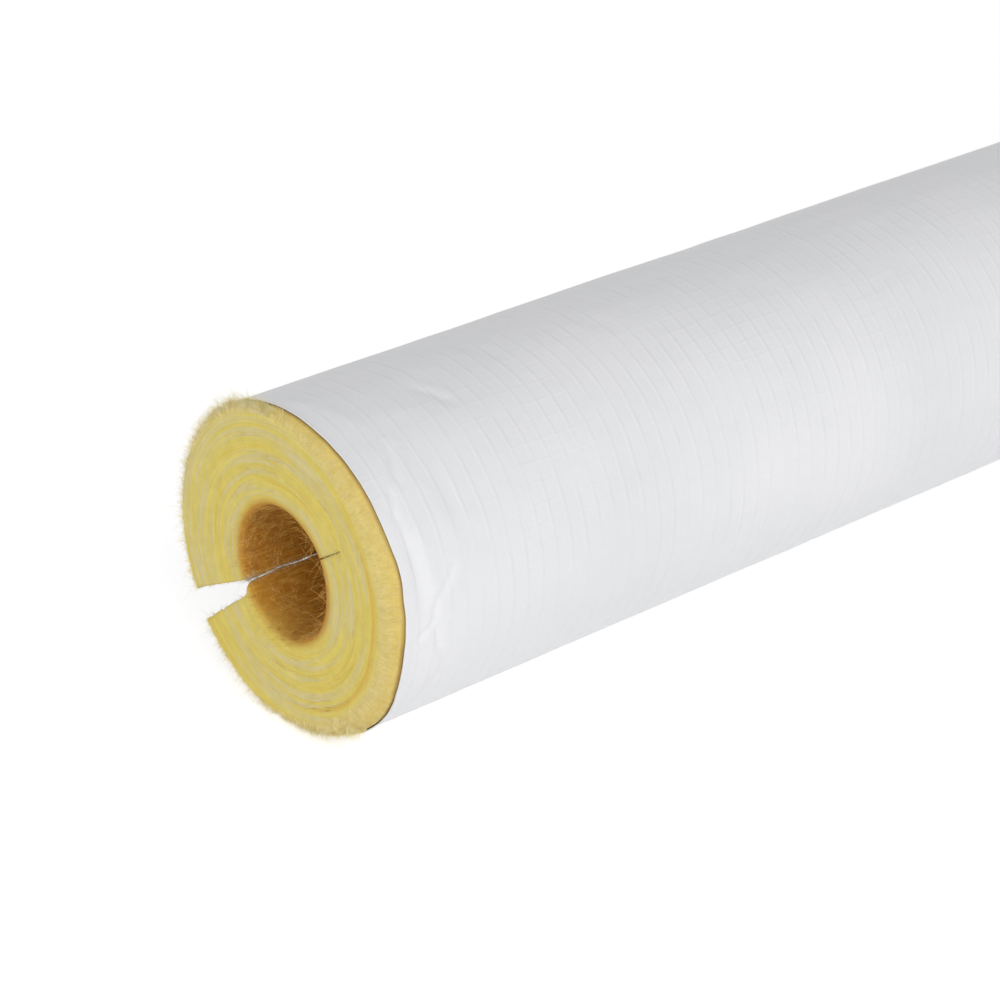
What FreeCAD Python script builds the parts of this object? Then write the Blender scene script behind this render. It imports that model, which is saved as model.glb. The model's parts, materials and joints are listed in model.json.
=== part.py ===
import FreeCAD, Part

# Slit tube of glass wool pipe insulation in a white laminate jacket, lying on a level floor.
# The tube runs along X with its cut ends at -X and +X, +Z is up and the origin is on the
# floor under the middle of the tube.  Sizes are in millimetres and angles in degrees.
#
# Both sub-parts are drawn round their own X axis, with the upper lip of the slit along +Y.
# Their placement lifts that axis off the floor and turns the slit down to its real place.

import math
import os

import Sketcher

OUTPUT_FOLDER = "parts"

# Driving dimensions: alias, value, meaning.
SIZES = [
    ("length", 914.4, "length of the wool tube, three feet"),
    ("bore_diameter", 35.3, "bore, for copper tube 34.9 mm across"),
    ("wall", 26.8, "thickness of the wool wall, nominally one inch"),
    ("rim_round", 3.5, "soft rounding of the wool's outer rim at each end"),
    ("slit_angle", -27.3, "turn of the slit's upper lip from +Y towards +Z"),
    ("slit_opening", 11.2, "angle by which the slit has sprung open"),
    ("slit_kerf", 0.9, "width of the slit where its lips still meet, at the bore"),
    ("lip_height", 2.9, "how far from the bore the lower lip stays closed up"),
    ("hinge_depth", 15, "depth of the hinge cut into the wall, from the bore"),
    ("hinge_width", 0.5, "width of the hinge cut"),
    ("jacket_thickness", 0.3, "white film, glass scrim and foil laminate"),
    ("jacket_bond", 0.1, "glue line between the wool and the jacket"),
    ("jacket_recess", 4, "how far the wool stands out past the jacket at each end"),
    ("lap_width", 50, "width of the jacket's closing lap, folded back"),
    ("lap_thickness", 0.55, "the same laminate with its closing glue and glue cover"),
    ("lap_gap", 0.6, "air between the folded lap and the jacket under it"),
    ("cut_overrun", 2, "how far a cutting sketch reaches past what it cuts"),
]

# Values worked out from the driving dimensions.
FORMULAS = [
    ("bore_radius", "bore_diameter / 2"),
    ("wool_radius", "bore_radius + wall"),
    ("sheet_inner_radius", "wool_radius + jacket_bond"),
    ("sheet_outer_radius", "sheet_inner_radius + jacket_thickness"),
    ("lap_inner_radius", "sheet_outer_radius + lap_gap"),
    ("lap_outer_radius", "lap_inner_radius + lap_thickness"),
    ("jacket_length", "length - 2 * jacket_recess"),
    ("lap_angle", "lap_width / lap_outer_radius * 180 / pi"),
]

# Sketch plane coordinates and the part's: sketch x is +Y, sketch y is +Z, its normal is +X.
ALONG_X = FreeCAD.Rotation(FreeCAD.Vector(1, 1, 1), 120)
HALF_TURN = FreeCAD.Rotation(FreeCAD.Vector(1, 0, 0), 180)
X_AXIS = FreeCAD.Vector(1, 0, 0)
SKETCH_ORIGIN = (-1, 1)
SKETCH_X_AXIS = -1


def make_sheet(doc):
    """Spreadsheet with the driving dimensions first and the worked out values after them."""
    sheet = doc.addObject("Spreadsheet::Sheet", "Sizes")
    for row, (alias, value, meaning) in enumerate(SIZES, start=1):
        sheet.set(f"A{row}", alias)
        sheet.set(f"B{row}", str(value))
        sheet.set(f"C{row}", meaning)
        sheet.setAlias(f"B{row}", alias)
    for row, (alias, formula) in enumerate(FORMULAS, start=len(SIZES) + 1):
        sheet.set(f"A{row}", alias)
        sheet.set(f"B{row}", "=" + formula)
        sheet.setAlias(f"B{row}", alias)
    doc.recompute()
    return sheet


def origin_plane(body, role):
    """The body's own origin plane with this role."""
    return next(plane for plane in body.Origin.OriginFeatures if plane.Role == role)


def section_sketch(body, name, turn="0"):
    """Sketch across the tube, turned about the tube's axis by a formula in degrees."""
    sketch = body.newObject("Sketcher::SketchObject", name)
    sketch.AttachmentSupport = [(origin_plane(body, "YZ_Plane"), "")]
    sketch.MapMode = "FlatFace"
    sketch.AttachmentOffset = FreeCAD.Placement(
        FreeCAD.Vector(), FreeCAD.Rotation(FreeCAD.Vector(0, 0, 1), 0)
    )
    sketch.setExpression("AttachmentOffset.Rotation.Angle", f"({turn}) * 1deg")
    return sketch


def draw_circle(sketch, radius_formula):
    """Circle round the tube's axis."""
    radius = sketch.evalExpression(radius_formula)
    edge = sketch.addGeometry(Part.Circle(FreeCAD.Vector(), FreeCAD.Vector(0, 0, 1), radius))
    sketch.addConstraint(Sketcher.Constraint("Coincident", edge, 3, *SKETCH_ORIGIN))
    size = sketch.addConstraint(Sketcher.Constraint("Radius", edge, radius))
    sketch.setExpression(f"Constraints[{size}]", radius_formula)


def place_corner(sketch, edge, axis, formula):
    """Hold the start of an edge at a signed distance from the sketch's origin."""
    distance = sketch.evalExpression(formula)
    corner = (edge, 1)
    if distance < 0:
        ends = corner + SKETCH_ORIGIN
        formula = f"-({formula})"
    else:
        ends = SKETCH_ORIGIN + corner
    size = sketch.addConstraint(Sketcher.Constraint(axis, *ends, abs(distance)))
    sketch.setExpression(f"Constraints[{size}]", formula)


def draw_polygon(sketch, corners):
    """Closed outline through corners, each a pair of formulas; y is "0" on the x axis."""
    points = [
        FreeCAD.Vector(sketch.evalExpression(x), sketch.evalExpression(y), 0)
        for x, y in corners
    ]
    edges = [
        sketch.addGeometry(Part.LineSegment(start, end))
        for start, end in zip(points, points[1:] + points[:1])
    ]
    for edge, following in zip(edges, edges[1:] + edges[:1]):
        sketch.addConstraint(Sketcher.Constraint("Coincident", edge, 2, following, 1))
    for edge, (x, y) in zip(edges, corners):
        place_corner(sketch, edge, "DistanceX", x)
        if y == "0":
            sketch.addConstraint(Sketcher.Constraint("PointOnObject", edge, 1, SKETCH_X_AXIS))
        else:
            place_corner(sketch, edge, "DistanceY", y)


def cut_through(body, name, sketch):
    """Pocket the sketch right through the body, both ways."""
    pocket = body.newObject("PartDesign::Pocket", name)
    pocket.Profile = sketch
    pocket.SideType = "Symmetric"
    pocket.Type = "ThroughAll"
    return pocket


def place_on_floor(sub_part):
    """Lift the tube's axis off the floor and turn the slit to its place."""
    sub_part.Placement = FreeCAD.Placement(FreeCAD.Vector(), FreeCAD.Rotation(X_AXIS, 0))
    sub_part.setExpression("Placement.Base.z", "Sizes.sheet_outer_radius")
    sub_part.setExpression("Placement.Rotation.Angle", "Sizes.slit_angle * 1deg")


def make_wool(doc):
    """Glass wool tube with its rims rounded, its slit sprung open and its hinge cut."""
    body = doc.addObject("PartDesign::Body", "GlassWoolTube")
    body.Label = "glass_wool_tube"
    doc.recompute()

    ring = section_sketch(body, "WallSection")
    draw_circle(ring, "Sizes.wool_radius")
    draw_circle(ring, "Sizes.bore_radius")
    wall = body.newObject("PartDesign::Pad", "Wall")
    wall.Profile = ring
    wall.SideType = "Symmetric"
    wall.setExpression("Length", "Sizes.length")
    doc.recompute()

    wool_radius = body.evalExpression("Sizes.wool_radius")
    rims = [
        f"Edge{number}"
        for number, edge in enumerate(wall.Shape.Edges, start=1)
        if isinstance(edge.Curve, Part.Circle) and math.isclose(edge.Curve.Radius, wool_radius)
    ]
    rounding = body.newObject("PartDesign::Fillet", "RimRounding")
    rounding.Base = (wall, rims)
    rounding.setExpression("Radius", "Sizes.rim_round")
    doc.recompute()

    opening = "Sizes.slit_opening * 1deg"
    inside = "(Sizes.bore_radius - Sizes.cut_overrun)"
    outside = "(Sizes.wool_radius + Sizes.cut_overrun)"
    lip_end = "(Sizes.bore_radius + Sizes.lip_height)"
    wedge = section_sketch(body, "SlitSection")
    draw_polygon(
        wedge,
        [
            (inside, "0"),
            (inside, "-Sizes.slit_kerf"),
            ("Sizes.bore_radius", "-Sizes.slit_kerf"),
            (f"{lip_end} * cos({opening})", f"-{lip_end} * sin({opening})"),
            (outside, f"-{outside} * tan({opening})"),
            (outside, "0"),
        ],
    )
    cut_through(body, "Slit", wedge)
    doc.recompute()

    half_width = "Sizes.hinge_width / 2"
    cut_depth = "Sizes.bore_radius + Sizes.hinge_depth"
    hinge = section_sketch(body, "HingeSection", "180 - Sizes.slit_opening / 2")
    draw_polygon(
        hinge,
        [
            (inside, f"-{half_width}"),
            (cut_depth, f"-{half_width}"),
            (cut_depth, half_width),
            (inside, half_width),
        ],
    )
    cut_through(body, "HingeCut", hinge)
    place_on_floor(body)
    return body


def curved_sheet(doc, name, inner_formula, outer_formula, sweep_formula, rotation=ALONG_X):
    """Length of sheet bent to a sector of a tube, centred on X = 0."""
    outer = doc.addObject("Part::Cylinder", name + "Outside")
    inner = doc.addObject("Part::Cylinder", name + "Inside")
    for cylinder, radius_formula in ((outer, outer_formula), (inner, inner_formula)):
        cylinder.Placement = FreeCAD.Placement(FreeCAD.Vector(), rotation)
        cylinder.setExpression("Radius", radius_formula)
        cylinder.setExpression("Height", "Sizes.jacket_length")
        cylinder.setExpression("Placement.Base.x", "-Sizes.jacket_length / 2")
    outer.setExpression("Angle", f"({sweep_formula}) * 1deg")
    sheet = doc.addObject("Part::Cut", name)
    sheet.Base = outer
    sheet.Tool = inner
    return sheet


def make_jacket(doc):
    """Laminate sheet round the wool, with its closing lap folded back at the upper lip."""
    wrap = curved_sheet(
        doc,
        "Wrap",
        "Sizes.sheet_inner_radius",
        "Sizes.sheet_outer_radius",
        "360 - Sizes.slit_opening",
    )
    lap = curved_sheet(
        doc, "Lap", "Sizes.lap_inner_radius", "Sizes.lap_outer_radius", "Sizes.lap_angle"
    )
    fold = curved_sheet(
        doc,
        "Fold",
        "Sizes.lap_gap / 2",
        "Sizes.lap_gap / 2 + Sizes.jacket_thickness",
        "180",
        HALF_TURN.multiply(ALONG_X),
    )
    for cylinder in (fold.Base, fold.Tool):
        cylinder.setExpression("Placement.Base.y", "Sizes.sheet_outer_radius + Sizes.lap_gap / 2")
    jacket = doc.addObject("Part::MultiFuse", "Jacket")
    jacket.Label = "jacket"
    jacket.Shapes = [wrap, fold, lap]
    jacket.Refine = True
    place_on_floor(jacket)
    return jacket


def check(doc, sub_parts):
    """Stop if any object failed or any sub-part isn't one valid solid."""
    for item in doc.Objects:
        if {"Invalid", "Error"} & set(item.State):
            raise RuntimeError(f"{item.Label} could not be built: {item.State}")
    for item in sub_parts:
        if item.Shape.isNull() or not item.Shape.isValid():
            raise RuntimeError(f"{item.Label} has no valid shape")
        if len(item.Shape.Solids) != 1:
            raise RuntimeError(f"{item.Label} is not one solid")


doc = FreeCAD.newDocument("pipe_insulation")
make_sheet(doc)
sub_parts = [make_wool(doc), make_jacket(doc)]
doc.recompute()
check(doc, sub_parts)
os.makedirs(OUTPUT_FOLDER, exist_ok=True)
for sub_part in sub_parts:
    sub_part.Shape.exportStep(os.path.join(OUTPUT_FOLDER, sub_part.Label + ".step"))
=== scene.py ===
import json
import math

import bmesh
import bpy
import numpy as np
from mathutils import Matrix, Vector, noise


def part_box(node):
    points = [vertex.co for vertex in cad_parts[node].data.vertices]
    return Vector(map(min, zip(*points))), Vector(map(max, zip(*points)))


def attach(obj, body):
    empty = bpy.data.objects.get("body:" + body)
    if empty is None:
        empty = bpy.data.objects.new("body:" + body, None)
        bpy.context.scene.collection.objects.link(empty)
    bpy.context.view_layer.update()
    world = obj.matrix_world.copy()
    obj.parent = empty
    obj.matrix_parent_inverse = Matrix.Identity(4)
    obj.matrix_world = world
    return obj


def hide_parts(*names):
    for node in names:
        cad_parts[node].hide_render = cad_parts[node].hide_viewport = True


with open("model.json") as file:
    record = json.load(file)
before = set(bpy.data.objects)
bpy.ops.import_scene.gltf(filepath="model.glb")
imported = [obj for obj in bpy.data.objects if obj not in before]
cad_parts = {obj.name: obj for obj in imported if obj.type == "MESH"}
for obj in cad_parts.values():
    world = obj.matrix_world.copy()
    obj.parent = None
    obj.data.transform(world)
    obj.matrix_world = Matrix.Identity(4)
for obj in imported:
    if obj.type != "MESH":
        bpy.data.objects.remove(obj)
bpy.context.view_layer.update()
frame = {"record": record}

# Slit tube of glass wool pipe insulation in a white film-faced jacket.  The tube lies along X,
# its near end at -X, its axis AXIS_HEIGHT above the floor.  A "turn" is an angle about that
# axis, from +Y towards +Z.

# ---------------------------------------------------------------- sizes, in metres

MM = 0.001
bore_mount = next(m for m in frame["record"]["mounts"] if m["name"] == "pipe_bore")
wool_low, wool_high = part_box("glass_wool_tube")
_, jacket_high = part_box("jacket")

AXIS_HEIGHT = bore_mount["pos_m"][2]
BORE_RADIUS = bore_mount["dims"]["r_mm"] * MM
WOOL_RADIUS = wool_high[2] - AXIS_HEIGHT
JACKET_RADIUS = jacket_high[2] - AXIS_HEIGHT
NEAR_END = wool_low[0]
FAR_END = wool_high[0]
LENGTH = FAR_END - NEAR_END

UPPER_LIP = math.radians(-27.3)
OPENING = math.radians(11.2)
WRAP_TURN = 2 * math.pi - OPENING
LOWER_LIP = UPPER_LIP + WRAP_TURN
HINGE = UPPER_LIP - OPENING / 2 + math.pi
HINGE_DEPTH = 11.5 * MM
HINGE_WIDTH = 0.5 * MM
HINGE_GROOVE = 1.8 * MM
HINGE_NOTCH = 2.5 * MM
LIP_HEIGHT = 2.9 * MM
LIP_KERF = 0.32 * MM
LIP_TURN = math.radians(16)

WIDEST_RIM = 7.5 * MM
EDGE_SHADE_REACH = 1.1 * MM
LAYER_SPIRAL = 1.6 * MM
MOUTH_ROUND = 1.5 * MM
COVERED_SINK = 1.1 * MM

SHEET = 0.3 * MM
LAP_GAP = 0.6 * MM
LAP_WIDTH = 50 * MM
LAP_SPRING = 0.5 * MM
THREAD_PITCH = 5.08 * MM

# Round the tube, at angles in degrees up from the horizontal on the viewed side, in mm: how far
# the jacket's hand-cut edge stands back from the wool's end, how far inside its full radius the
# wool's end goes flat, and how far along the tube that soft shoulder reaches.
EDGE_ANGLES = [-142, -115, -85, -60, -37, -25, -15, -6, 3, 11, 18, 24, 34, 50, 58, 67, 76]
EDGE_ANGLES += [83, 90, 97, 104, 115, 135, 160, 208]
EDGE_BACK = [7.5, 7.5, 6.5, 5, 4.4, 3.5, 3.2, 3.3, 3.6, 3.7, 4.1, 4.0, 3.4, 3.4, 3.2, 2.9, 2.6]
EDGE_BACK += [2.6, 2.5, 2.3, 2.4, 3.5, 6.5, 8, 8]
RIM_ANGLES = [-142, -100, -75, -45, 30, 60, 90, 115, 208]
RIM_DROP = [1.8, 2.2, 4.5, 7.5, 7.5, 6.0, 3.5, 1.8, 1.8]
RIM_REACH = [2.2, 2.6, 4.0, 4.5, 4.5, 3.4, 2.5, 2.2, 2.2]


# ---------------------------------------------------------------- small helpers


def smooth_step(low, high, value):
    """0 below low, 1 above high, smooth between, for numbers or arrays."""
    part = np.clip((np.asarray(value, float) - low) / (high - low), 0, 1)
    return part * part * (3 - 2 * part)


def degrees_up(turn):
    """Angles up from the horizontal on the viewed side, in degrees."""
    return 180 - np.degrees(turn)


def ripple(points, seed):
    """Soft noise, about -1 to 1, at an array of points."""
    offset = Vector((seed * 17.3, seed * 5.1, seed * 9.7))
    return np.array([noise.noise(Vector(point) + offset) for point in points])


def from_axis(x, turn, radius):
    """Points of the tube from their place along it, turn and distance from its axis."""
    return np.stack([x, radius * np.cos(turn), AXIS_HEIGHT + radius * np.sin(turn)], axis=1)


def corner_loss(distance, radius):
    """How far a rounded corner has drawn back at a distance from the end."""
    left = np.clip(radius - distance, 0, radius)
    return radius - np.sqrt(radius**2 - left**2)


def block(counts):
    """Unit block from the origin, cut into counts strips along X, Y and Z."""
    bm = bmesh.new()
    bmesh.ops.create_cube(bm, size=1)
    bmesh.ops.translate(bm, verts=bm.verts, vec=(0.5, 0.5, 0.5))
    for axis, count in enumerate(counts):
        edges = [
            edge
            for edge in bm.edges
            if abs(edge.verts[0].co[axis] - edge.verts[1].co[axis]) > 0.5
        ]
        bmesh.ops.subdivide_edges(bm, edges=edges, cuts=count - 1, use_grid_fill=True)
    return bm


def corners_of(bm):
    """Vertex places of a bmesh as an array."""
    return np.array([vert.co[:] for vert in bm.verts])


def move_corners(bm, places):
    """Put each vertex of a bmesh at its new place."""
    for vert, place in zip(bm.verts, places):
        vert.co = place


def to_object(bm, name, finishes):
    """Smooth object from a bmesh, riding on the tube, with its finishes."""
    mesh = bpy.data.meshes.new(name)
    bm.to_mesh(mesh)
    bm.free()
    piece = bpy.data.objects.new(name, mesh)
    bpy.context.scene.collection.objects.link(piece)
    for finish in finishes:
        mesh.materials.append(finish)
    mesh.polygons.foreach_set("use_smooth", [True] * len(mesh.polygons))
    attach(piece, "root")
    return piece


# ---------------------------------------------------------------- finishes


def new_finish(name, **sockets):
    """Material with a Principled shader, its constant sockets set directly."""
    finish = bpy.data.materials.new(name)
    finish.use_nodes = True
    shader = finish.node_tree.nodes["Principled BSDF"]
    for socket, value in sockets.items():
        shader.inputs[socket.replace("_", " ")].default_value = value
    return finish, finish.node_tree, shader


def add(tree, kind, *inputs, **settings):
    """Shader node of a kind; inputs are values or sockets in order, None to leave one alone."""
    new = tree.nodes.new("ShaderNode" + kind)
    for setting, value in settings.items():
        setattr(new, setting, value)
    for socket, value in zip(new.inputs, inputs):
        if isinstance(value, bpy.types.NodeSocket):
            tree.links.new(value, socket)
        elif value is not None:
            socket.default_value = value
    return new


def sum_up(tree, operation, *inputs):
    """Result of a Math node."""
    return add(tree, "Math", *inputs, operation=operation).outputs[0]


def ramp(tree, factor, *stops):
    """Colour ramp through stops of (position, colour)."""
    new = add(tree, "ValToRGB", factor)
    elements = new.color_ramp.elements
    while len(elements) < len(stops):
        elements.new(0.5)
    for element, (position, colour) in zip(elements, stops):
        element.position = position
        element.color = colour if len(colour) == 4 else (*colour, 1)
    return new.outputs[0]


def blend_colour(tree, factor, under, over, blend_type="MIX"):
    """Two colours mixed."""
    mix = tree.nodes.new("ShaderNodeMix")
    mix.data_type = "RGBA"
    mix.blend_type = blend_type
    for socket, value in ((mix.inputs[0], factor), (mix.inputs[6], under), (mix.inputs[7], over)):
        if isinstance(value, bpy.types.NodeSocket):
            tree.links.new(value, socket)
        else:
            socket.default_value = value
    return mix.outputs[2]


def linear(red, green, blue):
    """Colour given as it looks on a screen, 0 to 255, as the shader's linear values."""
    parts = []
    for level in (red, green, blue):
        level /= 255
        parts.append(level / 12.92 if level < 0.04045 else ((level + 0.055) / 1.055) ** 2.4)
    return (*parts, 1)


def tube_coordinates(tree):
    """Sockets of place along the tube, turn and distance from the axis, for any point."""
    place = add(tree, "TexCoord").outputs["Object"]
    turned = add(tree, "VectorRotate", place, (0, 0, AXIS_HEIGHT), rotation_type="X_AXIS")
    turned.inputs["Angle"].default_value = math.pi - (UPPER_LIP - OPENING / 2)
    parts = add(tree, "SeparateXYZ", turned.outputs[0]).outputs
    height = sum_up(tree, "SUBTRACT", parts[2], AXIS_HEIGHT)
    turn = sum_up(tree, "ARCTAN2", height, parts[1])
    radius = sum_up(
        tree,
        "SQRT",
        sum_up(tree, "ADD", sum_up(tree, "POWER", parts[1], 2), sum_up(tree, "POWER", height, 2)),
    )
    return place, parts[0], turn, radius


def layer_coordinates(tree, along, turn, radius):
    """Socket of a point's place in the layers: long round the tube, thin through the wall."""
    spiral = sum_up(tree, "MULTIPLY_ADD", turn, LAYER_SPIRAL / (2 * math.pi), radius)
    layer_place = add(tree, "CombineXYZ", sum_up(tree, "MULTIPLY", spiral, 1000), None, None)
    tree.links.new(sum_up(tree, "MULTIPLY", turn, 1.3), layer_place.inputs[1])
    tree.links.new(sum_up(tree, "MULTIPLY", along, 9), layer_place.inputs[2])
    return layer_place.outputs[0]


def layer_colour(tree, layer_place, broad):
    """Colour of the cut layers: yellow and whitish bands with finer streaks."""
    fine = add(tree, "TexNoise", layer_place, None, 1.7, 2, 0.6)
    tone = ramp(
        tree,
        broad,
        (0.30, linear(222, 194, 88)),
        (0.42, linear(229, 207, 100)),
        (0.50, linear(224, 205, 106)),
        (0.56, linear(217, 203, 156)),
        (0.62, linear(224, 206, 114)),
        (0.72, linear(234, 214, 98)),
    )
    streak = ramp(
        tree,
        fine.outputs[0],
        (0.34, linear(212, 190, 88)),
        (0.48, linear(226, 208, 106)),
        (0.58, linear(230, 217, 134)),
        (0.70, linear(236, 226, 168)),
    )
    return blend_colour(tree, 0.24, tone, streak)


def with_bore_wall(tree, colour, share):
    """The colour, turning amber towards the wall of the bore."""
    baked = ramp(
        tree,
        share,
        (0.025, linear(184, 118, 22)),
        (0.055, linear(194, 138, 42)),
        (0.110, linear(212, 180, 92)),
        (0.180, linear(222, 202, 118)),
    )
    baked_share = ramp(
        tree, share, (0.020, (1, 1, 1)), (0.055, (0.85, 0.85, 0.85)), (0.150, (0, 0, 0))
    )
    return blend_colour(tree, baked_share, colour, baked)


def with_shoulder(tree, colour, along, turn, radius):
    """The colour, with pale gold combed fibres on the soft rim."""
    rim = add(tree, "Attribute", attribute_name="rim").outputs["Fac"]
    brushed = add(tree, "CombineXYZ", sum_up(tree, "MULTIPLY", along, 0.3), None, None)
    tree.links.new(sum_up(tree, "MULTIPLY", turn, 0.044), brushed.inputs[1])
    tree.links.new(sum_up(tree, "MULTIPLY", radius, 0.3), brushed.inputs[2])
    combed = add(tree, "TexNoise", brushed.outputs[0], None, 1500.0, 2, 0.5).outputs[0]
    gold = ramp(tree, combed, (0.34, linear(218, 194, 114)), (0.64, linear(232, 212, 140)))
    golder = add(tree, "MapRange", rim, 0.55, 0.95, 0.0, 0.55).outputs[0]
    gold = blend_colour(tree, golder, gold, linear(220, 188, 100))
    rim_share = add(tree, "MapRange", rim, 0.02, 0.45, 0.0, 0.8).outputs[0]
    return blend_colour(tree, rim_share, colour, gold)


def with_rim_lines(tree, colour, turn, radius, broad):
    """The colour, with an amber arc low on the viewed side and a brown line of painted shade where the
    wool goes under the jacket's edge.
    """
    arc_radius = 35.7 * MM
    arc_waver = 2.2 * MM
    arc_width = 1.2 * MM
    arc_centre = sum_up(tree, "MULTIPLY_ADD", broad, arc_waver, arc_radius)
    off_arc = sum_up(tree, "ABSOLUTE", sum_up(tree, "SUBTRACT", radius, arc_centre))
    smooth = {"interpolation_type": "SMOOTHSTEP"}
    on_arc = add(tree, "MapRange", off_arc, arc_width, 0.0, 0.0, 0.7, **smooth)
    above = add(tree, "MapRange", turn, -0.5, 0.3, 0.0, 1.0, **smooth)
    below = add(tree, "MapRange", turn, 2.1, 1.4, 0.0, 1.0, **smooth)
    low = sum_up(tree, "MULTIPLY", above.outputs[0], below.outputs[0])
    amber_share = sum_up(tree, "MULTIPLY", on_arc.outputs[0], low)
    colour = blend_colour(tree, amber_share, colour, linear(222, 178, 76))
    shade_at_jacket = add(tree, "Attribute", attribute_name="shade_at_jacket").outputs["Fac"]
    # painted shade: a brown line on the wool where it goes under the jacket's edge
    edge_shade_share = add(tree, "MapRange", shade_at_jacket, 0.35, 1.0, 0.0, 0.9).outputs[0]
    return blend_colour(tree, edge_shade_share, colour, linear(160, 120, 56))


def with_wall_fibres(tree, colour, along, turn, share):
    """The colour, with baked fibres that cross both ways on the wall of the bore."""
    on_wall = add(tree, "MapRange", share, 0.075, 0.035, 0.0, 1.0).outputs[0]
    wall_radius = 17.7 * MM
    for lean, scale in ((0.5, 1.0), (-0.7, 1.3), (1.35, 0.8)):
        arc = sum_up(tree, "MULTIPLY", turn, wall_radius)
        wall_place = add(tree, "CombineXYZ", along, arc, None)
        leaned = add(tree, "Mapping", wall_place.outputs[0])
        leaned.inputs["Rotation"].default_value = (0, 0, lean)
        leaned.inputs["Scale"].default_value = (scale, 11 * scale, 1)
        threads = add(tree, "TexNoise", leaned.outputs[0], None, 190.0, 2, 0.6).outputs[0]
        shown = add(tree, "MapRange", threads, 0.54, 0.66, 0.0, 0.75).outputs[0]
        shown = sum_up(tree, "MULTIPLY", shown, on_wall)
        colour = blend_colour(tree, shown, colour, linear(212, 164, 72))
    return colour


def wool_finish():
    """Layered yellow glass wool, amber where the binder has baked at the bore and the skin."""
    finish, tree, shader = new_finish("layered_glass_wool", Roughness=0.85)
    shader.inputs["Specular IOR Level"].default_value = 0.2
    shader.inputs["Sheen Weight"].default_value = 0.08
    shader.inputs["Sheen Roughness"].default_value = 0.5
    place, along, turn, radius = tube_coordinates(tree)
    layer_place = layer_coordinates(tree, along, turn, radius)
    broad = add(tree, "TexNoise", layer_place, None, 0.42, 2, 0.45).outputs[0]
    wall_from = 17 * MM
    wall_to = 45 * MM
    share = add(tree, "MapRange", radius, wall_from, wall_to, 0.0, 1.0).outputs[0]

    colour = layer_colour(tree, layer_place, broad)
    colour = with_bore_wall(tree, colour, share)
    colour = with_shoulder(tree, colour, along, turn, radius)
    colour = with_rim_lines(tree, colour, turn, radius, broad)
    colour = with_wall_fibres(tree, colour, along, turn, share)

    # clumps and fibre grain
    clumps = add(tree, "TexNoise", place, None, 260.0, 4, 0.65)
    clump_tone = ramp(
        tree, clumps.outputs[0], (0.30, (0.88, 0.86, 0.82)), (0.70, (1.0, 1.0, 1.0))
    )
    colour = blend_colour(tree, 0.7, colour, clump_tone, "MULTIPLY")
    tree.links.new(colour, shader.inputs["Base Color"])
    stretched = add(tree, "Mapping", layer_place)
    stretched.inputs["Scale"].default_value = (1.0, 2.0, 30.0)
    fibres = add(tree, "TexNoise", stretched.outputs[0], None, 3.2, 3, 0.7)
    height = sum_up(tree, "ADD", fibres.outputs[0], sum_up(tree, "MULTIPLY", clumps.outputs[0], 0.8))
    bump = add(tree, "Bump", 0.18, 0.0003)
    tree.links.new(height, bump.inputs["Height"])
    tree.links.new(bump.outputs[0], shader.inputs["Normal"])
    return finish


def fibre_finish(name, pale, dark):
    """Loose glass fibres, each a little different."""
    finish, tree, shader = new_finish(name, Roughness=0.45)
    place = add(tree, "TexCoord").outputs["Object"]
    shade = add(tree, "TexNoise", place, None, 420.0, 2, 0.5)
    tone = ramp(tree, shade.outputs[0], (0.35, dark), (0.62, pale))
    tree.links.new(tone, shader.inputs["Base Color"])
    return finish


def thread_lines(tree, place, pitch, width, wobble):
    """Height of the raised threads that cross one UV direction."""
    steps = sum_up(tree, "MULTIPLY_ADD", place, 1 / pitch, wobble)
    part = sum_up(tree, "ABSOLUTE", sum_up(tree, "SUBTRACT", sum_up(tree, "FRACT", steps), 0.5))
    return add(tree, "MapRange", part, width, 0.0, 0.0, 1.0, interpolation_type="SMOOTHSTEP").outputs[0]


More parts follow.
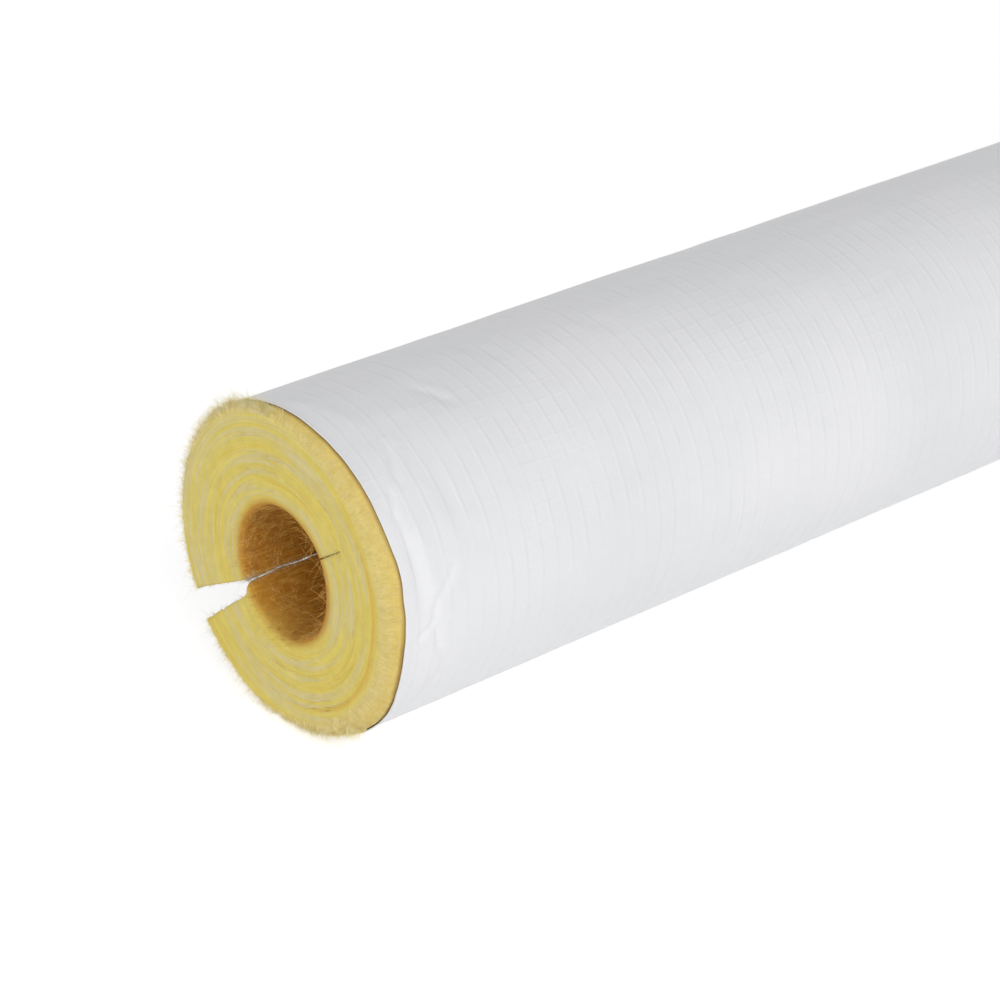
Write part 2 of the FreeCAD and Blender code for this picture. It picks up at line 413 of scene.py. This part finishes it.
def jacket_finish():
    """White film over a glass scrim: its threads show as fine raised lines."""
    finish, tree, shader = new_finish("white_scrim_film", Roughness=0.42)
    shader.inputs["Specular IOR Level"].default_value = 0.4
    uv = add(tree, "UVMap", uv_map="sheet").outputs[0]
    parts = add(tree, "SeparateXYZ", uv).outputs
    sway = add(tree, "TexNoise", uv, None, 18.0, 2, 0.5).outputs[0]
    sway = sum_up(tree, "MULTIPLY", sum_up(tree, "SUBTRACT", sway, 0.5), 0.8)
    rings = thread_lines(tree, parts[0], THREAD_PITCH, 0.20, sway)
    lengthwise = thread_lines(tree, parts[1], THREAD_PITCH, 0.11, sway)
    slant = sum_up(tree, "MULTIPLY_ADD", parts[0], 0.62, parts[1])
    diagonal = thread_lines(tree, slant, THREAD_PITCH, 0.09, sway)
    fade = add(tree, "TexNoise", uv, None, 26.0, 2, 0.5).outputs[0]
    fade = add(tree, "MapRange", fade, 0.40, 0.60, 0.10, 1.0).outputs[0]
    ring_fade = add(tree, "TexNoise", uv, None, 62.0, 2, 0.6).outputs[0]
    ring_fade = add(tree, "MapRange", ring_fade, 0.38, 0.60, 0.25, 1.0).outputs[0]
    rings = sum_up(tree, "MULTIPLY", rings, ring_fade)
    weak = sum_up(tree, "MULTIPLY", lengthwise, 0.45)
    weaker = sum_up(tree, "MULTIPLY", diagonal, 0.15)
    relief = sum_up(tree, "MULTIPLY", sum_up(tree, "ADD", weak, weaker), fade)
    relief = sum_up(tree, "MULTIPLY_ADD", rings, 1.3, relief)
    grain = add(tree, "TexNoise", uv, None, 900.0, 3, 0.6).outputs[0]
    relief = sum_up(tree, "MULTIPLY_ADD", grain, 0.25, relief)
    puckers = add(tree, "TexNoise", uv, None, 110.0, 2, 0.5).outputs[0]
    relief = sum_up(tree, "MULTIPLY_ADD", puckers, 2.0, relief)
    bump = add(tree, "Bump", 0.50, 0.00016)
    tree.links.new(relief, bump.inputs["Height"])
    tree.links.new(bump.outputs[0], shader.inputs["Normal"])
    cloud = add(tree, "TexNoise", uv, None, 14.0, 3, 0.55).outputs[0]
    tone = ramp(tree, cloud, (0.35, linear(228, 229, 231)), (0.65, linear(235, 235, 237)))
    thread_shade = ramp(tree, rings, (0.0, (1.0, 1.0, 1.0)), (1.0, (0.989, 0.989, 0.990)))
    tone = blend_colour(tree, 1.0, tone, thread_shade, "MULTIPLY")
    tree.links.new(tone, shader.inputs["Base Color"])
    gloss = add(tree, "MapRange", cloud, 0.3, 0.7, 0.36, 0.52).outputs[0]
    tree.links.new(gloss, shader.inputs["Roughness"])
    return finish


def backing_finish():
    """Inner side of the jacket, seen on the folded-back lap: dull foil over the scrim."""
    finish, tree, shader = new_finish("dull_foil_backing", Roughness=0.45, Metallic=0.45)
    uv = add(tree, "UVMap", uv_map="sheet").outputs[0]
    parts = add(tree, "SeparateXYZ", uv).outputs
    rings = thread_lines(tree, parts[0], THREAD_PITCH, 0.10, 0.0)
    lengthwise = thread_lines(tree, parts[1], THREAD_PITCH, 0.10, 0.0)
    grain = add(tree, "TexNoise", uv, None, 160.0, 3, 0.6).outputs[0]
    relief = sum_up(tree, "ADD", sum_up(tree, "MAXIMUM", rings, lengthwise), grain)
    bump = add(tree, "Bump", 0.3, 0.0002)
    tree.links.new(relief, bump.inputs["Height"])
    tree.links.new(bump.outputs[0], shader.inputs["Normal"])
    cloud = add(tree, "TexNoise", uv, None, 30.0, 3, 0.5).outputs[0]
    tone = ramp(tree, cloud, (0.3, linear(200, 201, 204)), (0.7, linear(214, 215, 218)))
    tree.links.new(tone, shader.inputs["Base Color"])
    return finish


# ---------------------------------------------------------------- the wool


def jacket_edge(turn):
    """How far the jacket's edge stands back from the wool's end: cut by hand, a bit wavy."""
    rough = ripple(np.stack([np.cos(turn) * 9, np.sin(turn) * 9, turn * 0], axis=1), 6.0)
    back = np.interp(degrees_up(turn), EDGE_ANGLES, EDGE_BACK)
    return (back + 0.15 * rough) * MM


def rim_loss(distance, turn):
    """How far the wool's outside has drawn in at a distance from the end: a broad soft rim."""
    up = degrees_up(turn)
    drop = np.interp(up, RIM_ANGLES, RIM_DROP) * MM
    reach = np.interp(up, RIM_ANGLES, RIM_REACH) * MM
    left = np.clip(1 - distance / reach, 0, 1)
    return drop * (1 - np.sqrt(1 - left**2))


def wool_outside(distance, turn):
    """Radius of the wool's outside: rounded rims, a rough edge, sunk a little under the jacket."""
    rough = ripple(np.stack([np.cos(turn) * 7, np.sin(turn) * 7, distance * 300], axis=1), 1.0)
    edge = jacket_edge(turn)
    radius = WOOL_RADIUS - rim_loss(distance, turn)
    radius += 0.30 * MM * rough * (1 - smooth_step(1 * MM, 3.5 * MM, distance))
    flare = np.interp(degrees_up(turn), (-142, -115, -92), (0.9, 0.8, 0)) * MM
    radius += flare * np.exp(-distance / (4 * MM))
    return radius - COVERED_SINK * smooth_step(edge + 1.5 * MM, edge + 6 * MM, distance)


def wool_inside(distance, turn):
    """Radius of the bore, with a soft mouth that sags open below the slit."""
    sag = np.exp(-(((turn - math.radians(285)) / math.radians(30)) ** 2))
    mouth = corner_loss(distance, MOUTH_ROUND) + 1.9 * MM * sag * np.exp(-distance / (5 * MM))
    pinch = np.exp(-(((turn - math.radians(185)) / math.radians(35)) ** 2))
    rough = ripple(np.stack([np.cos(turn) * 3, np.sin(turn) * 3, distance * 60], axis=1), 2.0)
    return BORE_RADIUS + mouth + 0.18 * MM * rough - 0.8 * MM * pinch * np.exp(-distance / (20 * MM))


def layer_relief(turn, radius, seed):
    """Height of the cut end: thin layers that stand out or draw back."""
    layer = radius / (1.5 * MM) + turn / (2 * math.pi)
    coarse = ripple(np.stack([layer * 0.8, np.cos(turn) * 1.6, np.sin(turn) * 1.6], axis=1), seed)
    fine = ripple(np.stack([layer * 2.1, np.cos(turn) * 9, np.sin(turn) * 9], axis=1), seed + 1)
    return (0.26 * coarse + 0.04 * fine) * MM


def make_wool(finish):
    """A bar of wool bent round into the tube, with its slit, its curled lip and its hinge."""
    strips = (96, 232, 34)
    end_crowding = 2.6
    bm = block(strips)
    along, around, through = corners_of(bm).T
    from_end = np.minimum(along, 1 - along)
    distance = LENGTH / 2 * (2 * from_end) ** end_crowding
    x = np.where(along <= 0.5, NEAR_END + distance, FAR_END - distance)

    # turns, with the three columns at the hinge drawn together
    column = np.rint(around * strips[1])
    hinge_column = round((HINGE - UPPER_LIP) / WRAP_TURN * strips[1])
    turn = UPPER_LIP + around * WRAP_TURN
    beside = column - hinge_column
    near_hinge = np.abs(beside) <= 1
    inside = wool_inside(distance, turn)
    radius = inside + through * (wool_outside(distance, turn) - inside)
    turn = np.where(near_hinge, HINGE + beside * HINGE_WIDTH / 2 / radius, turn)

    # the lower lip stays curled up against the upper one at the bore
    reach = np.clip(1 - (radius - BORE_RADIUS) / LIP_HEIGHT, 0, 1)
    curl = smooth_step(LOWER_LIP - LIP_TURN, LOWER_LIP, turn)
    turn = turn + reach * curl * (OPENING - LIP_KERF / radius)

    # rough lips
    lip = np.isin(column, (0, strips[1]))
    rough = ripple(np.stack([x * 160, radius * 500, turn], axis=1), 3.0)
    turn = turn + lip * rough * 0.3 * MM / radius

    # relief of both cut ends, and the hinge cut as a groove in ends and bore
    relief = layer_relief(turn, radius, 4.0)
    cut = (beside == 0) * (1 - smooth_step(0.7, 1.0, (radius - BORE_RADIUS) / HINGE_DEPTH))
    inwards = np.where(along <= 0.5, 1, -1)
    at_end = np.isin(np.rint(along * strips[0]), (0, strips[0]))
    x = x + at_end * inwards * (relief + HINGE_GROOVE * cut)
    radius = radius + (through < 1e-6) * (beside == 0) * HINGE_NOTCH
    move_corners(bm, from_axis(x, turn, radius))
    bmesh.ops.recalc_face_normals(bm, faces=bm.faces)

    # how far over the shoulder each point is, and how close to the jacket's edge, for the painted shade
    # there
    outer = through > 1 - 1e-6
    full_drop = rim_loss(np.zeros_like(distance), turn)
    rim = outer * (1 - rim_loss(distance, turn) / full_drop)
    shade_at_jacket = outer * np.clip(1 - (jacket_edge(turn) - distance) / EDGE_SHADE_REACH, 0, 1)
    # the painted shade at the jacket's edge is left off low down near the floor and on the far side
    shade_at_jacket *= np.interp(degrees_up(turn), (-55, -35, 108, 120), (0, 1, 1, 0))
    for name, values in (("rim", rim), ("shade_at_jacket", shade_at_jacket)):
        layer = bm.verts.layers.float.new(name)
        for vert, value in zip(bm.verts, values):
            vert[layer] = value
    piece = to_object(bm, "wool_tube", [finish])
    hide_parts("glass_wool_tube")


# ---------------------------------------------------------------- loose fibres


def strand(segments):
    """One straight tapering fibre of unit length and thickness: its points and faces."""
    bm = bmesh.new()
    bmesh.ops.create_cone(bm, cap_ends=True, segments=3, radius1=1, radius2=0.3, depth=1)
    bmesh.ops.translate(bm, verts=bm.verts, vec=(0, 0, 0.5))
    sides = [e for e in bm.edges if abs(e.verts[0].co.z - e.verts[1].co.z) > 0.5]
    bmesh.ops.subdivide_edges(bm, edges=sides, cuts=segments - 1)
    bm.verts.index_update()
    points = corners_of(bm)
    faces = [[vert.index for vert in face.verts] for face in bm.faces]
    bm.free()
    return points, faces


def make_fibres(name, roots, headings, lengths, bends, width, finish, segments=3):
    """Many fibres joined in one mesh: each starts at its root and bends on its way.

    Each is made of the given number of straight segments.
    """
    points, faces = strand(segments)
    rise = points[:, 2]
    count = len(roots)
    headings = headings / np.linalg.norm(headings, axis=1, keepdims=True)
    helper = np.where(np.abs(headings[:, :1]) < 0.8, [[1.0, 0, 0]], [[0, 1.0, 0]])
    side = np.cross(headings, helper)
    side /= np.linalg.norm(side, axis=1, keepdims=True)
    other = np.cross(headings, side)
    run = lengths[:, None, None]
    spine = roots[:, None] + headings[:, None] * rise[:, None] * run
    spine = spine + bends[:, None] * (rise**2)[:, None] * run
    shell = side[:, None] * points[:, 0, None] + other[:, None] * points[:, 1, None]
    places = (spine + shell * width[:, None, None]).reshape(-1, 3)
    starts = np.arange(count) * len(points)
    all_faces = [[corner + start for corner in face] for start in starts.tolist() for face in faces]
    mesh = bpy.data.meshes.new(name)
    mesh.from_pydata(places.tolist(), [], all_faces)
    mesh.materials.append(finish)
    piece = bpy.data.objects.new(name, mesh)
    bpy.context.scene.collection.objects.link(piece)
    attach(piece, "root")


def outwards(turn):
    """Unit vectors away from the axis at each turn."""
    return np.stack([np.zeros_like(turn), np.cos(turn), np.sin(turn)], axis=1)


def round_about(turn):
    """Unit vectors along the turn at each turn."""
    return np.stack([np.zeros_like(turn), -np.sin(turn), np.cos(turn)], axis=1)


def along_tube(way_out, depth):
    """Places along the tube at a depth from the near end, or the far one where way_out is 1."""
    return np.where(way_out < 0, NEAR_END + depth, FAR_END - depth)


def end_places(draw, count):
    """Random turns on the wool, the way out at the end each is near, and a share from 0 to 1."""
    turn = UPPER_LIP + draw.random(count) * WRAP_TURN
    way_out = np.where(draw.random(count) < 0.6, -1.0, 1.0)
    return turn, way_out, draw.random(count)


def make_rim_fuzz(finish):
    """Fibres round the rims: combed towards the end on the viewed side, a loose haze beyond."""
    draw = np.random.default_rng(11)
    count = 13500
    turn, way_out, _ = end_places(draw, count)
    beyond = np.where(
        draw.random(count) < 0.55,
        UPPER_LIP + draw.random(count) * math.radians(112),
        LOWER_LIP - draw.random(count) * math.radians(96),
    )
    turn = np.where(draw.random(count) < 0.66, beyond, turn)
    depth = draw.random(count) * (jacket_edge(turn) - 0.4 * MM)
    x = along_tube(way_out, depth)
    roots = from_axis(x, turn, wool_outside(depth, turn) - 0.15 * MM)
    free = smooth_step(-0.25, 0.25, np.cos(turn + math.radians(8)))
    loose = free[:, None]
    headings = outwards(turn) * (0.10 + loose * (0.3 + 0.9 * draw.random((count, 1))))
    headings += round_about(turn) * draw.normal(0, 1, (count, 1)) * (0.35 + 0.5 * loose)
    headings[:, 0] += way_out * (0.3 + 0.7 * draw.random(count)) * (1.2 - 0.9 * free)
    longest = 1.3 + 1.7 * free
    lengths = (0.5 + longest * draw.random(count) ** 1.6) * MM
    bends = draw.normal(0, 0.35, (count, 3)) * (0.4 + 0.8 * loose)
    width = (0.02 + 0.026 * draw.random(count)) * MM
    make_fibres("rim_fuzz", roots, headings, lengths, bends, width, finish, 2)


def make_edge_haze(finish):
    """Soft tufts that blur the wool's outline beyond the viewed side and beside the slit."""
    draw = np.random.default_rng(15)
    count = 12000
    tufts = 420
    tuft_turn = np.where(
        draw.random(tufts) < 0.55,
        UPPER_LIP + draw.random(tufts) * math.radians(118),
        LOWER_LIP - draw.random(tufts) * math.radians(90),
    )
    tuft = draw.integers(0, tufts, count)
    turn = tuft_turn[tuft] + draw.normal(0, math.radians(0.5), count)
    turn = np.clip(turn, UPPER_LIP, LOWER_LIP)
    way_out = np.where(draw.random(count) < 0.7, -1.0, 1.0)
    depth = draw.random(count) ** 1.3 * (jacket_edge(turn) - 0.3 * MM)
    x = along_tube(way_out, depth)
    roots = from_axis(x, turn, wool_outside(depth, turn) - 0.15 * MM)
    lean = draw.normal(0, 0.4, tufts)[tuft] + draw.normal(0, 0.45, count)
    headings = outwards(turn) + round_about(turn) * lean[:, None]
    headings[:, 0] += way_out * draw.random(count) * 0.8
    reach = (0.5 + 0.9 * draw.random(tufts) ** 1.5)[tuft]
    lengths = (0.4 + 2.1 * draw.random(count)) * reach * MM
    bends = draw.normal(0, 0.35, (count, 3))
    width = (0.025 + 0.025 * draw.random(count)) * MM
    make_fibres("edge_haze", roots, headings, lengths, bends, width, finish, 2)


def make_end_fibres(finish):
    """Fibres that lie along the layers of both cut ends, a little lifted."""
    draw = np.random.default_rng(12)
    count = 1800
    _, way_out, share = end_places(draw, count)
    x = along_tube(way_out, share * (0.01 * MM))
    turn = UPPER_LIP + (0.05 + 0.9 * draw.random(count)) * WRAP_TURN
    span = WOOL_RADIUS - BORE_RADIUS - WIDEST_RIM
    radius = BORE_RADIUS + 0.6 * MM + np.sqrt(draw.random(count)) * span
    roots = from_axis(x - way_out * 0.1 * MM, turn, radius)
    sense = np.where(draw.random((count, 1)) < 0.5, -1.0, 1.0)
    headings = round_about(turn) * sense + outwards(turn) * draw.normal(0, 0.16, (count, 1))
    headings[:, 0] += way_out * np.abs(draw.normal(0, 0.02, count))
    lengths = (1.5 + 5 * draw.random(count)) * MM
    bends = -outwards(turn) * (lengths / radius / 2)[:, None] + draw.normal(0, 0.05, (count, 3))
    width = (0.025 + 0.03 * draw.random(count)) * MM
    make_fibres("end_fibres", roots, headings, lengths, bends, width, finish)


def make_bore_fibres(finish):
    """Golden fibres that lie criss-cross on the wall of the bore behind both mouths."""
    draw = np.random.default_rng(13)
    count = 8200
    turn, way_out, share = end_places(draw, count)
    depth = 0.6 * MM + 110 * MM * share**1.5
    depth[: count // 4] = depth[: count // 4] * 0.12
    x = along_tube(way_out, depth)
    roots = from_axis(x, turn, wool_inside(depth, turn) - 0.03 * MM)
    lean = draw.random(count) * 2 * math.pi
    headings = round_about(turn) * np.sin(lean)[:, None] * 0.75
    headings[:, 0] += np.cos(lean)
    headings -= outwards(turn) * (0.02 + 0.10 * draw.random((count, 1)) ** 3)
    lengths = (1.5 + 6.0 * draw.random(count)) * MM
    inward = (np.sin(lean) ** 2 * lengths / BORE_RADIUS / 2)[:, None]
    bends = -outwards(turn) * inward + round_about(turn) * draw.normal(0, 0.12, (count, 1))
    width = (0.02 + 0.03 * draw.random(count)) * MM
    make_fibres("bore_fibres", roots, headings, lengths, bends, width, finish, 2)


def make_slit_fuzz(finish):
    """Pale fibres pulled loose along both lips of the slit and across its closed line."""
    draw = np.random.default_rng(14)
    count = 4200
    at_bore = draw.random(count) < 0.7
    x = np.where(
        draw.random(count) < 0.6,
        NEAR_END + 90 * MM * draw.random(count) ** 1.4,
        NEAR_END + LENGTH * draw.random(count),
    )
    upper = draw.random(count) < 0.5
    gap_floor = BORE_RADIUS + LIP_HEIGHT
    radius = np.where(
        at_bore,
        BORE_RADIUS + 0.1 * MM + draw.random(count) * 0.5 * MM,
        gap_floor + draw.random(count) * (WOOL_RADIUS - gap_floor - 2 * MM),
    )
    closed_lip = UPPER_LIP - LIP_KERF / radius
    lower = np.where(at_bore, closed_lip, UPPER_LIP - OPENING)
    turn = np.where(upper, UPPER_LIP, lower)
    across = np.where(upper, -1.0, 1.0)[:, None]
    roots = from_axis(x, turn, radius)
    headings = round_about(turn) * across * 0.6
    headings += outwards(turn) * np.where(at_bore, -0.25, draw.normal(0, 0.5, count))[:, None]
    headings[:, 0] += draw.normal(0, 1.1, count)
    lengths = (0.4 + 1.4 * draw.random(count)) * MM
    bends = draw.normal(0, 0.3, (count, 3))
    width = (0.028 + 0.03 * draw.random(count)) * MM
    make_fibres("slit_fuzz", roots, headings, lengths, bends, width, finish, 2)


# ---------------------------------------------------------------- the jacket

# Creases of the film, most of them near its near edge: two ends, each (mm from the wool's end, degrees up
# from the horizontal on the viewed side), then width in mm and height in mm, below 0 for a
# valley.
CREASES = [
    ((17.5, 62), (12.5, 47), 1.3, -0.50),
    ((20.0, 62), (15.0, 46), 1.8, 0.21),
    ((10.5, 46), (7.2, 35), 1.1, -0.45),
    ((7.5, 37), (10.5, 3), 2.2, -0.50),
    ((12.5, 34), (14.0, 6), 2.1, 0.27),
    ((21.5, 17), (13.8, 6.5), 1.0, -0.50),
    ((24.0, 16), (16.5, 5), 1.4, 0.21),
    ((13.8, 7), (12.5, -1.5), 0.9, -0.65),
    ((13.0, -1), (7.0, -5), 0.9, -0.55),
    ((12.5, -4), (6.5, -8), 1.2, 0.21),
    ((13.0, -2), (15.0, -12), 1.0, -0.50),
    ((15.5, 0), (18.0, -13), 1.3, 0.24),
    ((15.0, -12), (18.5, -18), 1.0, -0.45),
    ((18.5, -18), (12.0, -38), 1.6, -0.35),
    ((35.5, 80), (42.0, 67), 1.3, -0.40),
    ((37.5, 82), (44.0, 69), 1.7, 0.18),
    ((5.0, 100), (16.0, 64), 2.2, 0.18),
    ((24.0, 48), (27.0, 20), 2.4, -0.22),
    ((20.0, 46), (22.5, 24), 2.2, 0.132),
    ((58.0, 96), (66.0, 78), 1.8, -0.25),
    ((62.0, 40), (64.0, 12), 2.6, -0.16),
    ((92.0, 90), (104.0, 72), 2.2, -0.22),
    ((140.0, 84), (152.0, 66), 2.4, -0.20),
]
# Soft dents: (mm from the wool's end, degrees up), reach along and round in mm, depth in mm.
DENTS = [
    ((9.5, 14), 4.0, 13.0, -0.45),
    ((26.0, 30), 9.0, 12.0, -0.30),
    ((24.0, 92), 12.0, 5.0, -0.30),
    ((46.0, 74), 16.0, 5.0, -0.25),
    ((70.0, 98), 26.0, 5.0, -0.30),
    ((120.0, 92), 30.0, 6.0, -0.25),
]


def crease_height(distance, arc, crease):
    """Height of one crease: a ridge or valley along a line, fading at its ends."""
    (start_mm, start_up), (end_mm, end_up), width, height = crease
    start = np.array([start_mm * MM, math.radians(start_up) * JACKET_RADIUS])
    end = np.array([end_mm * MM, math.radians(end_up) * JACKET_RADIUS])
    run = end - start
    share = ((distance - start[0]) * run[0] + (arc - start[1]) * run[1]) / (run @ run)
    held = np.clip(share, 0, 1)
    off = np.hypot(distance - start[0] - held * run[0], arc - start[1] - held * run[1])
    ends = 1 - np.clip(np.abs(share - 0.5) * 2, 0, 1) ** 4
    return height * MM * np.exp(-((off / (width * MM)) ** 2)) * (0.15 + 0.85 * ends)


def jacket_relief(distance, turn):
    """Wrinkles, dents and creases of the film, outwards from the tube."""
    arc = (math.pi - turn) * JACKET_RADIUS
    long_folds = ripple(np.stack([distance * 14, arc * 150, arc * 0], axis=1), 7.0)
    soft = ripple(np.stack([distance * 42, arc * 60, arc * 0], axis=1), 8.0)
    small = ripple(np.stack([distance * 95, arc * 190, arc * 0], axis=1), 9.0)
    up = degrees_up(turn)
    on_top = np.exp(-(((up - 95) / 30) ** 2))
    near_edge = np.exp(-distance / (45 * MM))
    height = (0.07 + 0.16 * on_top) * long_folds + (0.10 + 0.25 * near_edge) * soft
    height = (height + 0.09 * small) * MM
    for crease in CREASES:
        height = height + crease_height(distance, arc, crease)
    for (middle_mm, middle_up), reach_along, reach_round, depth in DENTS:
        share = ((distance - middle_mm * MM) / (reach_along * MM)) ** 2
        share = share + ((arc - math.radians(middle_up) * JACKET_RADIUS) / (reach_round * MM)) ** 2
        height = height + depth * MM * np.exp(-share)
    return height


def make_jacket(finish, backing):
    """One sheet wrapped round the wool, turned back at the upper lip into the folded lap."""
    rows, wrap_rows, fold_rows, lap_rows = 200, 200, 6, 20
    columns = wrap_rows + fold_rows + lap_rows
    bm = bmesh.new()
    bmesh.ops.create_grid(bm, x_segments=rows, y_segments=columns, size=0.5)
    flat = corners_of(bm)
    along = flat[:, 0] + 0.5
    column = np.rint((flat[:, 1] + 0.5) * columns)

    middle = JACKET_RADIUS - SHEET / 2
    fold_middle = JACKET_RADIUS + LAP_GAP / 2
    fold_radius = (LAP_GAP + SHEET) / 2
    lap_middle = fold_middle + fold_radius
    on_wrap = np.interp(column / wrap_rows, (0, 0.12, 0.82, 1), (0, 0.277, 0.707, 1))
    on_fold = np.clip((column - wrap_rows) / fold_rows, 0, 1)
    on_lap = np.clip((column - wrap_rows - fold_rows) / lap_rows, 0, 1)
    lap_turn = LAP_WIDTH / lap_middle
    turn = LOWER_LIP - on_wrap * WRAP_TURN
    turn = turn - np.sin(on_fold * math.pi) * fold_radius / middle + on_lap * lap_turn
    radius = np.where(on_fold > 0, fold_middle - np.cos(on_fold * math.pi) * fold_radius, middle)
    arc = on_wrap * WRAP_TURN * middle + on_fold * math.pi * fold_radius + on_lap * LAP_WIDTH

    edge = jacket_edge(turn)

    # most rows are on the near part, and they crowd at both ends
    crowding = 4.2
    near_rows = 0.72
    near_length = 0.62
    near_share = along / near_rows
    far_share = (1 - along) / (1 - near_rows)
    near_run = near_length * np.sinh(crowding * near_share) / math.sinh(crowding)
    far_run = 1 - (1 - near_length) * np.sinh(crowding * far_share) / math.sinh(crowding)
    run = np.where(along < near_rows, near_run, far_run)
    distance = edge + run * (LENGTH - 2 * edge)
    past_edge = np.minimum(distance - edge, LENGTH - edge - distance)
    from_end = past_edge + edge
    on_sheet = 1 - smooth_step(0.97, 1.0, on_wrap)
    clear = smooth_step(0.5 * MM, 5 * MM, past_edge)
    radius = radius + jacket_relief(distance, turn) * on_sheet * clear
    radius = radius - np.maximum(rim_loss(from_end, turn) - 0.1 * MM, 0)
    radius = radius + 0.30 * MM * np.exp(-past_edge / (0.9 * MM)) * on_sheet
    sway = ripple(np.stack([distance * 9, on_lap * 2, on_lap], axis=1), 10.0)
    radius = radius + on_lap**2 * (LAP_SPRING + 0.3 * MM * sway)
    move_corners(bm, from_axis(NEAR_END + distance, turn, radius))

    sheet_map = bm.loops.layers.uv.new("sheet")
    bm.verts.index_update()
    for face in bm.faces:
        for loop in face.loops:
            corner = loop.vert.index
            loop[sheet_map].uv = (distance[corner], arc[corner])
    piece = to_object(bm, "jacket_sheet", [finish, backing])
    thick = piece.modifiers.new("sheet thickness", "SOLIDIFY")
    thick.thickness = SHEET
    thick.offset = 0
    thick.material_offset = 1
    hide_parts("jacket")


# ---------------------------------------------------------------- floor, light and camera


def seen_directly(tree):
    """Socket that is 1 for what the camera sees, straight or by glossy rays, and 0 for light."""
    paths = add(tree, "LightPath").outputs
    seen = sum_up(tree, "MAXIMUM", paths["Is Camera Ray"], paths["Is Glossy Ray"])
    return sum_up(tree, "MAXIMUM", seen, paths["Is Transmission Ray"])


def make_floor():
    """Wide pale floor that stays white to the camera and keeps the tube's shadow."""
    bm = bmesh.new()
    bmesh.ops.create_grid(bm, x_segments=1, y_segments=1, size=6)
    mesh = bpy.data.meshes.new("floor")
    bm.to_mesh(mesh)
    bm.free()
    floor = bpy.data.objects.new("floor", mesh)
    bpy.context.scene.collection.objects.link(floor)
    finish = bpy.data.materials.new("pale_floor")
    finish.use_nodes = True
    tree = finish.node_tree
    tree.nodes.clear()
    seen = seen_directly(tree)
    matt = add(tree, "BsdfDiffuse", (0.8, 0.8, 0.8, 1))
    glow = add(tree, "Emission", (1, 1, 1, 1))
    strength = add(tree, "MapRange", seen, 0.0, 1.0, 0.14, 0.55).outputs[0]
    tree.links.new(strength, glow.inputs["Strength"])
    both = add(tree, "AddShader", matt.outputs[0], glow.outputs[0])
    add(tree, "OutputMaterial", both.outputs[0])
    mesh.materials.append(finish)


def make_world():
    """White surroundings: full strength to the camera, softer as light."""
    world = bpy.data.worlds.new("studio")
    bpy.context.scene.world = world
    world.use_nodes = True
    tree = world.node_tree
    tree.nodes.clear()
    seen = seen_directly(tree)
    upwards = add(tree, "SeparateXYZ", add(tree, "TexCoord").outputs["Generated"]).outputs[2]
    shine = add(tree, "MapRange", upwards, 0.15, 1.0, 0.66, 0.27).outputs[0]
    strength = sum_up(tree, "MAXIMUM", shine, seen)
    sky = add(tree, "Background", (1, 1, 1, 1), strength)
    add(tree, "OutputWorld", sky.outputs[0])


def make_lamp(name, place, aim, size, power):
    """Square soft lamp aimed at a point."""
    light = bpy.data.lights.new(name, "AREA")
    light.size = size
    light.energy = power
    lamp = bpy.data.objects.new(name, light)
    lamp.location = place
    lamp.rotation_euler = (Vector(aim) - Vector(place)).to_track_quat("-Z", "Y").to_euler()
    bpy.context.scene.collection.objects.link(lamp)


def make_camera():
    """Long lens, in front of the near end, on the hinge's side and above."""
    view = bpy.data.cameras.new("camera")
    view.lens = 115.2
    view.sensor_width = 36
    camera = bpy.data.objects.new("camera", view)
    camera.location = (NEAR_END - 0.4266, -0.5782, AXIS_HEIGHT + 0.3787)
    looking = Vector((0.5846, 0.6771, -0.4470))
    camera.rotation_euler = looking.to_track_quat("-Z", "Y").to_euler()
    bpy.context.scene.collection.objects.link(camera)
    bpy.context.scene.camera = camera


# ---------------------------------------------------------------- the whole

wool = wool_finish()
make_wool(wool)
make_jacket(jacket_finish(), backing_finish())
pale_fibre = fibre_finish("pale_glass_fibre", linear(236, 229, 192), linear(212, 200, 146))
gold_fibre = fibre_finish("golden_glass_fibre", linear(232, 190, 104), linear(176, 120, 36))
make_rim_fuzz(pale_fibre)
make_edge_haze(fibre_finish("yellow_glass_fibre", linear(248, 238, 184), linear(232, 214, 136)))
make_end_fibres(fibre_finish("layer_fibre", linear(228, 214, 150), linear(200, 178, 96)))
make_bore_fibres(gold_fibre)
make_slit_fuzz(fibre_finish("grey_glass_fibre", linear(222, 212, 186), linear(168, 150, 112)))

make_floor()
make_world()
face_middle = (NEAR_END, 0, AXIS_HEIGHT)
make_lamp("key", (NEAR_END - 0.7, -1.75, 1.1), (NEAR_END + 0.1, 0, AXIS_HEIGHT), 1.8, 26)
make_lamp("fill", (NEAR_END - 1.4, 0.9, 0.9), face_middle, 1.4, 5)
make_camera()
bpy.context.scene.view_settings.view_transform = "Standard"
